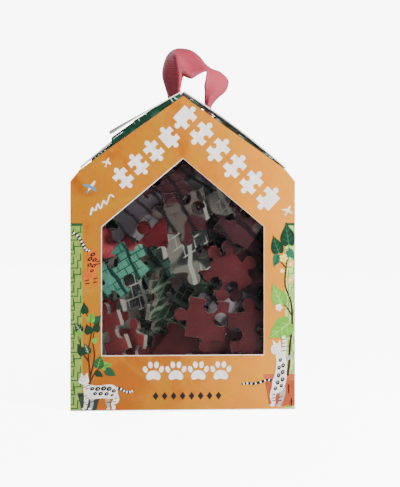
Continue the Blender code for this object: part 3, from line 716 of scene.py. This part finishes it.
def climbing_cat(art, fur, mark, pale, layer=4):
    """Print a plain ginger cat climbing down the left edge, tail up."""
    tail = [(-41.0, 70.6), (-43.2, 71.6), (-44.6, 74.2), (-46.2, 77.0), (-49.0, 79.2)]
    art.stroke(tail, 1.6, 1.2, mark, layer - 1)
    art.bands(tail, 1.1, pale, layer, 8)
    art.shape(smooth([(-41.4, 70.8), (-39.4, 71.4), (-38.0, 69.6), (-37.8, 66.0), (-38.6, 62.4),
                      (-40.6, 60.0), (-42.4, 60.6), (-42.2, 64.0), (-42.6, 67.6)]), fur, layer)
    art.stroke([(-39.0, 69.0), (-37.2, 66.8), (-37.6, 64.2)], 2.2, 1.2, fur, layer)
    art.stroke([(-40.8, 61.2), (-38.8, 58.4), (-39.0, 55.6)], 1.9, 1.1, fur, layer)
    art.stroke([(-41.8, 61.4), (-42.8, 58.0), (-42.0, 55.0)], 1.9, 1.1, fur, layer)
    art.shape(smooth([(-44.4, 60.4), (-42.4, 61.6), (-41.0, 60.2), (-41.2, 58.2), (-43.0, 57.2),
                      (-44.6, 58.4)]), fur, layer + 1)
    art.shape([(-44.2, 60.2), (-45.0, 62.4), (-43.0, 61.4)], fur, layer)
    for x, z, radius in ((-40.0, 69.2, 0.8), (-39.2, 66.8, 0.75), (-41.2, 67.2, 0.8), (-39.6, 64.2, 0.75),
                         (-41.4, 64.6, 0.7), (-40.4, 62.0, 0.6)):
        art.blob((x, z), radius * 1.6, mark, layer + 1, 0.6, 30)
        art.blob((x, z), radius * 0.5, fur, layer + 2, 0.8, 30)
    for x, z in ((-38.8, 58.4), (-38.9, 56.8), (-42.5, 57.6), (-42.3, 56.2), (-37.6, 66.0), (-37.7, 64.8)):
        art.shape(placed([(-0.9, -0.2), (0.9, 0.1), (0.8, 0.6), (-0.8, 0.3)], (x, z)), mark, layer + 2)
    for x, z in ((-43.8, 59.4), (-42.4, 59.6)):
        art.blob((x, z), 0.2, mark, layer + 2)


def small_bird(art, at, turn, size, wing, breast, layer=1):
    """Print a plain little bird in flight."""
    body = [(-0.9, 0.0), (-0.2, 0.22), (0.6, 0.16), (1.0, 0.0), (0.5, -0.2), (-0.2, -0.22)]
    art.shape(smooth(placed(body, at, turn, size), steps=3), breast, layer)
    for outline in ([(0.1, 0.1), (-0.2, 0.8), (-0.7, 1.2), (-0.5, 0.5), (-0.4, 0.0)],
                    [(0.1, -0.1), (0.1, -0.7), (-0.3, -1.1), (-0.4, -0.5), (-0.3, 0.0)]):
        art.shape(smooth(placed(outline, at, turn, size), steps=2), wing, layer + 1)
    art.shape(placed([(-0.8, 0.0), (-1.4, 0.34), (-1.2, 0.0), (-1.4, -0.3)], at, turn, size), wing, layer + 1)


def bloom(art, at, radius, petals, heart, layer=3):
    """Print a small five-petalled flower."""
    for turn in range(0, 360, 72):
        centre = placed([(radius * 0.55, 0.0)], at, turn)[0]
        art.shape(placed(round_blob(radius * 0.5, 0.8, 7), centre, turn), petals, layer)
    art.blob(at, radius * 0.3, heart, layer + 1)


def potted_climber(art):
    """Print the small dark climber and its pot at the left."""
    art.shape([(-46.4, 6.8), (-36.8, 6.8), (-38.4, 0.4), (-45.0, 0.4)], POT_DARK, 1)
    art.shape([(-46.8, 8.0), (-36.4, 8.0), (-36.8, 6.4), (-46.4, 6.4)], POT_DARK, 1)
    for path in ([(-41.4, 8.0), (-41.2, 15.4), (-42.0, 26.5), (-40.6, 34.3), (-41.4, 39.8), (-43.2, 43.6)],
                 [(-41.4, 14.0), (-39.2, 24.0), (-40.0, 31.0), (-38.6, 38.4)],
                 [(-41.6, 12.0), (-38.6, 17.6), (-35.0, 19.8), (-32.4, 17.0)],
                 [(-41.8, 22.0), (-44.4, 26.0), (-46.4, 33.0)]):
        art.stroke(path, 0.75, 0.35, STEM, 2, 3)
    for base, tip, width, colour, vein in (
        ((-43.4, 43.2), (-43.9, 48.2), 3.4, LEAF_DARK, None),
        ((-41.2, 39.4), (-40.0, 43.8), 3.6, LEAF_BRIGHT, LEAF_DARK),
        ((-39.6, 38.6), (-36.2, 42.6), 3.8, LEAF_DEEP, None),
        ((-45.2, 35.2), (-48.2, 39.2), 3.6, LEAF_DARK, VEIN),
        ((-44.6, 33.6), (-47.2, 35.4), 2.6, LEAF_BRIGHT, None),
        ((-38.8, 35.2), (-37.4, 39.8), 3.4, LEAF_DARK, None),
        ((-41.4, 34.2), (-42.8, 38.6), 3.8, LEAF_DARK, None),
        ((-44.2, 25.0), (-46.8, 29.8), 3.6, LEAF_DARK, None),
        ((-42.0, 25.6), (-43.6, 30.2), 3.4, LEAF_DARK, VEIN),
        ((-37.8, 19.2), (-36.4, 24.8), 4.6, LEAF_DEEP, LEAF_BRIGHT),
        ((-36.0, 19.6), (-31.2, 20.8), 3.6, LEAF_BRIGHT, LEAF_DARK),
        ((-34.2, 18.2), (-29.6, 15.4), 3.6, LEAF_DEEP, None),
        ((-40.0, 30.4), (-37.6, 32.6), 2.4, LEAF_BRIGHT, None),
        ((-38.6, 17.2), (-35.4, 15.0), 2.8, LEAF_DARK, None),
    ):
        art.leaf(base, tip, width, colour, vein, 3)


def potted_tree(art):
    """Print the tall flowering plant and its clay pot at the right."""
    art.shape([(36.4, 13.4), (49.95, 13.4), (49.95, 1.6), (38.4, 1.6)], POT_CLAY, 1)
    art.shape([(35.8, 15.8), (49.95, 15.8), (49.95, 12.8), (36.2, 12.8)], POT_RIM, 2)
    art.stroke([(46.6, 15.0), (47.4, 21.0), (47.6, 27.6), (48.7, 37.6), (48.2, 47.6), (45.6, 55.3),
                (46.0, 63.1), (47.4, 72.0)], 1.2, 0.5, STEM, 3)
    art.stroke([(48.4, 42.0), (46.2, 45.6), (43.4, 47.8)], 0.7, 0.4, STEM, 3, 3)
    art.stroke([(48.7, 32.0), (46.4, 33.4), (44.4, 34.6)], 0.7, 0.4, STEM, 3, 3)
    art.stroke([(46.0, 63.0), (43.4, 66.0), (42.2, 69.0)], 0.6, 0.35, STEM, 3, 3)
    for base, tip, width, colour, vein in (
        ((47.2, 73.4), (46.0, 83.2), 7.0, LEAF_DARK, LEAF_TEAL),
        ((42.8, 69.6), (40.0, 77.6), 5.6, LEAF_DARK, LEAF_TEAL),
        ((42.6, 68.8), (40.4, 63.2), 3.8, LEAF_TEAL, LEAF_DARK),
        ((44.2, 46.6), (39.6, 56.2), 6.8, LEAF_BRIGHT, LEAF_PALE),
        ((47.6, 38.6), (38.0, 31.6), 9.0, LEAF_BRIGHT, LEAF_PALE),
        ((47.0, 70.8), (49.8, 66.6), 3.4, LEAF_TEAL, None),
        ((48.2, 50.4), (49.9, 54.6), 2.6, LEAF_PALE, None),
    ):
        art.leaf(base, tip, width, colour, vein, 4)
    for at, radius, petals, heart in (((44.8, 67.2), 1.9, BLOOM_YELLOW, BLOOM),
                                      ((48.1, 64.8), 1.8, BLOOM, WHITE_INK),
                                      ((48.0, 57.6), 1.9, BLOOM, WHITE_INK),
                                      ((42.8, 45.4), 1.7, WHITE_INK, BLOOM_YELLOW),
                                      ((44.2, 61.6), 1.2, BLOOM_YELLOW, WHITE_INK)):
        bloom(art, at, radius, petals, heart, 6)


def garden_strip(art, low, high, ground, line):
    """Print a strip of trellis, which continues the side wall's print round the corner."""
    top, step = STRIP_TOP, 6.2
    art.shape([(low, 0.45), (high, 0.45), (high, top), (low, top)], ground, 0)
    art.shape([(low, top - 1.2), (high, top - 1.2), (high, top), (low, top)], LEAF_DEEP, 1)
    for row in range(int((top - 2) / step)):
        z = 1.2 + row * step
        x = low + (high - low) * (0.35 if row % 2 else 0.62)
        start, turned, end = low + 0.2, low + 1.5, high - 0.7
        for points in ([(start, z), (x, z), (x, z + step * 0.55)],
                       [(x, z + step * 0.55), (end, z + step * 0.55), (end, z + step)],
                       [(start, z + step * 0.3), (turned, z + step * 0.3), (turned, z + step * 0.8)]):
            for a, b in zip(points, points[1:]):
                wide, tall = abs(b[0] - a[0]) / 2 + 0.24, abs(b[1] - a[1]) / 2 + 0.24
                centre = ((a[0] + b[0]) / 2, (a[1] + b[1]) / 2)
                bar = [(-wide, -tall), (wide, -tall), (wide, tall), (-wide, tall)]
                art.shape(placed(bar, centre), line, 1)


def crushed_edges(art):
    """Print the thin lines of white board that the die left bare along the window and the foot."""
    for a, b, wide in (((-36.15, 24.4), (-36.15, 81.5), 0.36), ((-36.15, 81.4), (0.0, 111.75), 0.34),
                       ((-36.2, 24.35), (36.2, 24.35), 0.30), ((36.1, 24.4), (36.1, 81.5), 0.12),
                       ((0.0, 111.7), (36.1, 81.4), 0.10), ((-49.9, 0.2), (49.9, 0.2), 0.30)):
        middle = ((a[0] + b[0]) / 2, (a[1] + b[1]) / 2)
        art.stroke([a, middle, b], wide, wide, WHITE_INK, 0, 1)


def front_artwork():
    """Print the front: plants, cats and birds round the window, and symbols where the photo has lettering."""
    art = Artwork("front_artwork", "carton", lambda x, z, lift: (x, FRONT_Y - lift, z), "front_print",
                  HALF_WIDTH)
    crushed_edges(art)
    garden_strip(art, -HALF_WIDTH, -STRIP_X, LIME, TRELLIS)
    garden_strip(art, RIGHT_STRIP_X, HALF_WIDTH, MINT, LEAF_BRIGHT)
    potted_climber(art)
    potted_tree(art)
    walking_cat(art, (-45.0, 0.6), 0.94, FUR, MARKING, FUR_SHADE, layer=5)
    reaching_cat(art, FUR, MARKING, FUR_SHADE, 7)
    climbing_cat(art, GINGER, MARKING, FUR)
    small_bird(art, (-40.6, 99.4), 55, 2.9, BIRD_BLUE, BIRD_PALE)
    small_bird(art, (-33.6, 110.2), 70, 1.9, BIRD_PALE, WHITE_INK)
    small_bird(art, (46.9, 88.8), 60, 2.2, BIRD_PALE, WHITE_INK)
    for at, kinds in (((-26.6, 103.0), (-1, 1, -1, 1)), ((-19.8, 109.0), (-1, 1, -1, 1)),
                      ((-13.0, 115.0), (-1, 1, -1, 1)), ((-6.2, 121.0), (-1, 1, 0, 1))):
        art.shape(puzzle_icon(at, SLOPE_TURN + 2, 6.9, kinds), WHITE_INK, 1)
    for at, kinds in (((0.9, 129.8), (-1, 1, 0, 1)), ((8.3, 122.6), (-1, 1, -1, 1)),
                      ((15.7, 115.4), (-1, 1, -1, 1)), ((23.1, 108.2), (-1, 1, -1, 1)),
                      ((30.5, 101.0), (-1, 1, -1, 1)), ((37.9, 93.8), (0, 1, -1, 1))):
        art.shape(puzzle_icon(at, -SLOPE_TURN - 4, 7.7, kinds), WHITE_INK, 1)
    for x in (-13.2, -3.2, 6.8, 16.8):
        paw_print(art, (x, 17.3), 9.0, WHITE_INK)
    for x in np.arange(8) * 4.0 - 12.2:
        art.shape(placed([(0, 1.8), (1.3, 0), (0, -1.8), (-1.3, 0)], (x, 6.4)), MARKING, 1)
    art.stroke([(-41.0, 86.6), (-40.2, 89.8), (-39.0, 88.0), (-37.8, 91.6), (-36.6, 89.4), (-35.2, 93.0),
                (-34.0, 91.4), (-32.4, 95.4), (-30.6, 94.6)], 0.8, 0.6, WHITE_INK, 1)
    art.finish(INKS)


def back_artwork():
    """Print the back: a house-shaped picture with a cat and leaves."""
    art = Artwork("back_artwork", "carton", lambda x, z, lift: (-x, BACK_Y + lift, z), "back_print",
                  HALF_WIDTH)
    garden_strip(art, -HALF_WIDTH, -STRIP_X, LIME, TRELLIS)
    garden_strip(art, STRIP_X, HALF_WIDTH, LIME, TRELLIS)
    frame_outline = [(-33.0, 24.0), (33.0, 24.0), (33.0, 84.0), (0.0, 110.0), (-33.0, 84.0)]
    art.shape(frame_outline, WHITE_INK, 0)
    art.shape([(x * 0.95, 26.0 + (z - 24.0) * 0.955) for x, z in frame_outline], LEAF_TEAL, 1)
    skyline = smooth([(-31.3, 37.0), (-16.0, 44.0), (0.0, 39.0), (18.0, 45.0), (31.3, 40.0)], closed=False)
    art.shape([(-31.3, 26.0)] + skyline + [(31.3, 26.0)], LIME, 2)
    walking_cat(art, (-17.0, 34.0), 1.7, FUR, MARKING, FUR_SHADE, layer=5)
    for x, z, turn in ((-24, 62, 60), (-12, 76, 80), (4, 86, 95), (17, 74, 110), (25, 60, 130), (9, 66, 70)):
        tip = placed([(9.0, 0.0)], (x, z), turn)[0]
        art.leaf((x, z), tip, 6.5, LEAF_BRIGHT if x % 2 else LEAF_PALE, LEAF_DARK, 3)
    for x in (-21.0, -7.0, 7.0, 21.0):
        paw_print(art, (x, 14.0), 7.0, WHITE_INK)
    for x, z in ((-26, 97), (26, 97), (0, 124)):
        art.shape(puzzle_icon((x, z), 20, 7.0, (1, -1, -1, 1)), WHITE_INK, 1)
    art.finish(INKS)


def side_artwork(name, side):
    """Print a side wall: a climber in a clay pot, over the trellis."""
    def to_world(x, z, lift):
        return (side * (HALF_WIDTH + lift), side * x, z)

    art = Artwork(name, "carton", to_world, "side_print", BACK_Y)
    art.shape([(-9.0, 11.0), (9.0, 11.0), (7.0, 1.2), (-7.0, 1.2)], POT_CLAY, 1)
    art.shape([(-10.0, 13.6), (10.0, 13.6), (10.0, 10.6), (-10.0, 10.6)], POT_RIM, 2)
    art.stroke([(0.0, 13.6), (-2.0, 30.0), (2.0, 48.0), (-1.0, 66.0), (1.0, 82.0)], 1.6, 0.7, STEM, 3)
    for index, z in enumerate(range(22, 84, 8)):
        way = -1 if index % 2 else 1
        art.leaf((0.4 * way, z), (way * (9.5 + index % 3), z + 6.5), 6.4,
                 (LEAF_DARK, LEAF_BRIGHT, LEAF_DEEP)[index % 3], (VEIN, LEAF_DARK, LEAF_BRIGHT)[index % 3], 4)
    for at in ((-6.0, 38.0), (7.5, 61.0), (-5.0, 77.0), (2.0, 87.0)):
        bloom(art, at, 2.3, BLOOM, BLOOM_YELLOW, 6)
    art.finish(INKS)


front_artwork()
back_artwork()
side_artwork("left_side_artwork", -1)
side_artwork("right_side_artwork", 1)

# ---- closure flap's front lip

# In mm: its ends along x, its foot and top above the slope's edge, the gap left under the flap, how far it
# stands out from the front, how far its top leans back, and its board
LIP_X = (-31.8, -1.2)
LIP_FOOT = 0.25
LIP_TOP = (4.3, 4.0)
LIP_UNDER = 0.25
LIP_OUT = 0.12
LIP_LEAN = 0.35
LIP_BOARD = 0.22
LIP_COLUMNS = 25
LIP_ROWS = 4


def front_edge(name):
    """Return a node's front edge as a height over x, from its frontmost corners."""
    corners = [v.co / MM for v in NODES[name].data.vertices]
    front = min(at.y for at in corners)
    rim = sorted((at.x, at.z) for at in corners if at.y < front + 1.0)
    return lambda x: float(np.interp(x, [at[0] for at in rim], [at[1] for at in rim]))


def make_lip():
    """Make the closure flap's narrow printed lip, bent down in front of the left slope."""
    flap = front_edge("closure_flap")
    slope = (APEX_Z - EAVE_Z) / EAVE_X
    lip = bmesh.new()
    columns = []
    for share in np.linspace(0.0, 1.0, LIP_COLUMNS):
        x = LIP_X[0] + (LIP_X[1] - LIP_X[0]) * share
        edge = APEX_Z - slope * abs(x)
        foot = edge + LIP_FOOT
        top = min(edge + LIP_TOP[0] + (LIP_TOP[1] - LIP_TOP[0]) * share, flap(x) - LIP_UNDER)
        shares = np.linspace(0.0, 1.0, LIP_ROWS)
        column = [(x, FRONT_Y - LIP_OUT + LIP_LEAN * t, foot + (top - foot) * t) for t in shares]
        columns.append([lip.verts.new(Vector(at) * MM) for at in column])
    for near, far in zip(columns, columns[1:]):
        for row in range(LIP_ROWS - 1):
            lip.faces.new((near[row], far[row], far[row + 1], near[row + 1]))
    piece = thick_sheet("closure_lip", filled_mesh("closure_lip", lip), FLAP_PRINT, LIP_BOARD)
    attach(piece, "closure")


make_lip()

# ---- ribbon

# The ribbon's rows from the left slot over the top to the right slot: outer edge, crease, inner edge, in mm
RIBBON_ROWS = [
    ((-4.9, 2.0, 136.6), (-1.6, -2.4, 136.6), (-1.2, -1.2, 136.6)),
    ((-5.2, 2.6, 140.8), (-0.8, -3.2, 140.8), (-0.4, -1.8, 140.8)),
    ((-6.2, 3.6, 144.5), (-0.3, -3.8, 144.3), (0.3, -1.6, 144.2)),
    ((-7.6, 4.4, 150.3), (-0.2, -4.4, 150.0), (1.4, -2.0, 149.4)),
    ((-7.0, 5.0, 155.5), (-1.4, -4.4, 155.4), (3.2, -3.4, 148.8)),
    ((-4.8, 5.8, 160.6), (-2.2, -3.4, 159.6), (5.2, -4.6, 148.2)),
    ((-0.6, 6.0, 163.2), (0.6, -0.2, 159.4), (7.8, -5.0, 149.8)),
    ((5.4, 4.6, 162.4), (6.8, 0.2, 157.2), (10.4, -5.0, 151.2)),
    ((9.6, 3.4, 159.2), (10.0, -0.6, 155.4), (11.8, -4.8, 151.6)),
    ((12.0, 3.2, 156.2), (11.2, -0.8, 154.2), (12.2, -4.8, 151.4)),
    ((15.2, 4.0, 153.8), (12.6, -1.2, 152.8), (12.0, -5.0, 150.6)),
    ((19.6, 5.2, 152.2), (15.2, 0.2, 150.8), (11.6, -3.6, 147.8)),
    ((23.3, 5.8, 148.4), (17.0, 1.2, 147.2), (11.2, -2.2, 145.2)),
    ((22.0, 4.2, 143.6), (16.4, -0.6, 143.6), (11.4, -1.2, 143.2)),
    ((17.6, 2.4, 139.6), (13.8, -2.2, 139.8), (11.4, -1.0, 140.0)),
    ((14.8, 1.9, 135.8), (13.2, -2.4, 135.7), (11.4, -1.0, 135.6)),
    ((14.4, 1.6, 131.4), (13.0, -2.0, 131.2), (11.6, -0.8, 131.0)),
]

# Faces across the strip and between two rows, and the strip's thickness in mm
RIBBON_ACROSS = 10
RIBBON_STEPS = 8
RIBBON_GAUGE = 0.45


def make_ribbon():
    """Make the loop as one continuous strip with its lengthwise crease."""
    rows = smooth([[c for point in row for c in point] for row in RIBBON_ROWS], closed=False,
                  steps=RIBBON_STEPS)
    sheet = bmesh.new()
    along = sheet.verts.layers.float.new("along")
    grid, length, before = [], 0.0, None
    for row in rows:
        outer, crease, inner = (Vector(row[i:i + 3]) * MM for i in (0, 3, 6))
        middle = (outer + 2 * crease + inner) / 4
        length += (middle - before).length if before else 0.0
        before = middle
        line = []
        for t in np.linspace(0, 1, RIBBON_ACROSS + 1):
            at = outer * (1 - t) ** 2 + crease * 2 * t * (1 - t) + inner * t**2
            sharp = outer.lerp(crease, 2 * t) if t < 0.5 else crease.lerp(inner, 2 * t - 1)
            vert = sheet.verts.new(at.lerp(sharp, 0.8))
            vert[along] = length
            line.append(vert)
        grid.append(line)
    for low, high in zip(grid, grid[1:]):
        for i in range(RIBBON_ACROSS):
            sheet.faces.new((low[i], low[i + 1], high[i + 1], high[i]))
    mesh = filled_mesh("ribbon_strip", sheet)
    for face in mesh.polygons:
        face.use_smooth = True
    return thick_sheet("ribbon_strip", mesh, RIBBON, RIBBON_GAUGE)


ribbon = make_ribbon()
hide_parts("ribbon_loop")
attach(ribbon, "ribbon")

# ---- camera, stage and light

# The photo's camera: level, a little from the left, with the picture shifted to frame the carton
CAMERA_PLACE = (-0.0436, -0.4981, 0.102)
CAMERA_YAW = -2.5
LENS = 80.3
SENSOR = 36.0
SHIFT_X, SHIFT_Y = 0.1395, -0.1300
NEAREST = 0.01

# What the lights look at, and half the floor's side
LIGHT_TARGET = (0.0, 0.0, 0.08)
FLOOR_HALF = 6.0

camera = add_object("camera", bpy.data.cameras.new("camera"))
camera.location = CAMERA_PLACE
camera.rotation_euler = (math.radians(90), 0.0, math.radians(CAMERA_YAW))
camera.data.lens = LENS
camera.data.sensor_width = SENSOR
camera.data.shift_x = SHIFT_X
camera.data.shift_y = SHIFT_Y
camera.data.clip_start = NEAREST
bpy.context.scene.camera = camera


def make_floor():
    """Lay the studio's paper floor."""
    sheet = bmesh.new()
    for x, y in ((-1, -1), (1, -1), (1, 1), (-1, 1)):
        sheet.verts.new((x * FLOOR_HALF, y * FLOOR_HALF, 0.0))
    sheet.faces.new(sheet.verts)
    mesh = filled_mesh("studio_floor", sheet)
    mesh.materials.append(floor_material())
    floor = add_object("studio_floor", mesh)


def make_light(name, location, size, power, colour=(1.0, 1.0, 1.0)):
    """Hang a square light that looks at the carton."""
    light = bpy.data.lights.new(name, "AREA")
    light.size = size
    light.energy = power
    light.color = colour
    lamp = add_object(name, light)
    lamp.location = location
    lamp.rotation_euler = (Vector(LIGHT_TARGET) - Vector(location)).to_track_quat("-Z", "Y").to_euler()


make_floor()
world = bpy.data.worlds.new("studio")
world.use_nodes = True
sky = Nodes(world.node_tree)
backdrop = sky.tree.nodes["Background"].inputs
sky.link(backdrop["Color"], (1.0, 1.0, 1.0))
seen = sky.node("LightPath").outputs["Is Camera Ray"]
sky.link(backdrop["Strength"], sky.plus(sky.times(seen, BACKDROP_GLOW - AMBIENT), AMBIENT))
bpy.context.scene.world = world
make_light("key", (0.28, -0.22, 0.28), size=0.16, power=4.5, colour=(1.0, 0.98, 0.94))
make_light("back", (-0.35, 0.62, 0.42), size=0.5, power=3.6)
make_light("fill", (-0.6, -0.6, 0.30), size=0.5, power=1.0, colour=(0.97, 0.98, 1.0))
